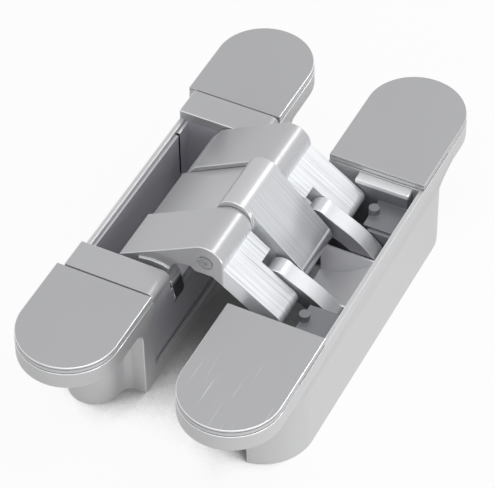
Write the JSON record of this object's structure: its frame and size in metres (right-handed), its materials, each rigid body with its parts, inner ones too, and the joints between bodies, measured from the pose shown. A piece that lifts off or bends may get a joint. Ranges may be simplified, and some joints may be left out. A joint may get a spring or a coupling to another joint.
{
  "type": "concealed hinge",
  "caption": "Concealed door hinge: a deep frame body and a deep door body with rounded cover caps, joined by folding knuckle arms on a centre pin and leaf links.",
  "frame": {"origin": "middle of the two undersides, with the door open", "axes": "+X from the left (frame) body to the right (door) body, +Y along the bodies away from the near end, +Z out of the faces"},
  "size_m": [0.0844, 0.158, 0.0498],
  "materials": {
    "housing": "satin silver",
    "carriage": "satin silver",
    "cap": "satin silver",
    "arm": "brushed satin",
    "link": "polished",
    "pin": "ground",
    "screw": "plain",
    "bush": "plain"
  },
  "bodies": {
    "left_body": {"left_housing": "housing", "left_carriage": "carriage", "left_near_cap": "cap", "left_far_cap": "cap", "left_near_pin": "pin", "left_far_pin": "pin", "left_adjusters": "screw"},
    "outer_arms": {"near_arm": "arm", "far_arm": "arm", "center_pin": "pin", "near_link_pin": "pin", "far_link_pin": "pin"},
    "mid_arm_body": {"mid_arm": "arm", "center_bush": "bush", "slide_pin": "pin", "barrel_pin": "pin"},
    "right_body": {"right_housing": "housing", "right_carriage": "carriage", "right_near_cap": "cap", "right_far_cap": "cap", "right_pivot_pin": "pin", "right_adjusters": "screw"},
    "near_link_body": {"near_link": "link", "near_guide_pin": "pin"},
    "far_link_body": {"far_link": "link", "far_guide_pin": "pin"}
  },
  "joints": [
    {"name": "frame_pivot", "type": "hinge", "parent": "left_body", "child": "outer_arms", "pos_m": [-0.013, 0, 0.023], "axis": [0, -1, 0], "range_deg": [0, 83.72]},
    {"name": "centre_pivot", "type": "hinge", "parent": "outer_arms", "child": "mid_arm_body", "pos_m": [0, 0, 0.042], "axis": [0, -1, 0], "range_deg": [0, 12.56]},
    {"name": "door_pivot", "type": "hinge", "parent": "mid_arm_body", "child": "right_body", "pos_m": [0.013, 0, 0.023], "axis": [0, -1, 0], "range_deg": [0, 83.72]},
    {"name": "near_link_pivot", "type": "hinge", "parent": "outer_arms", "child": "near_link_body", "pos_m": [0.01679, 0, 0.03069], "axis": [0, -1, 0], "range_deg": [0, 118.05]},
    {"name": "far_link_pivot", "type": "hinge", "parent": "outer_arms", "child": "far_link_body", "pos_m": [0.01679, 0, 0.03069], "axis": [0, -1, 0], "range_deg": [0, 118.05]}
  ],
  "couplings": [
    {"joint": "centre_pivot", "follows": "frame_pivot", "ratio": 0.14999},
    {"joint": "door_pivot", "follows": "frame_pivot", "ratio": 1},
    {"joint": "near_link_pivot", "follows": "frame_pivot", "ratio": 1.41},
    {"joint": "far_link_pivot", "follows": "frame_pivot", "ratio": 1.41}
  ]
}
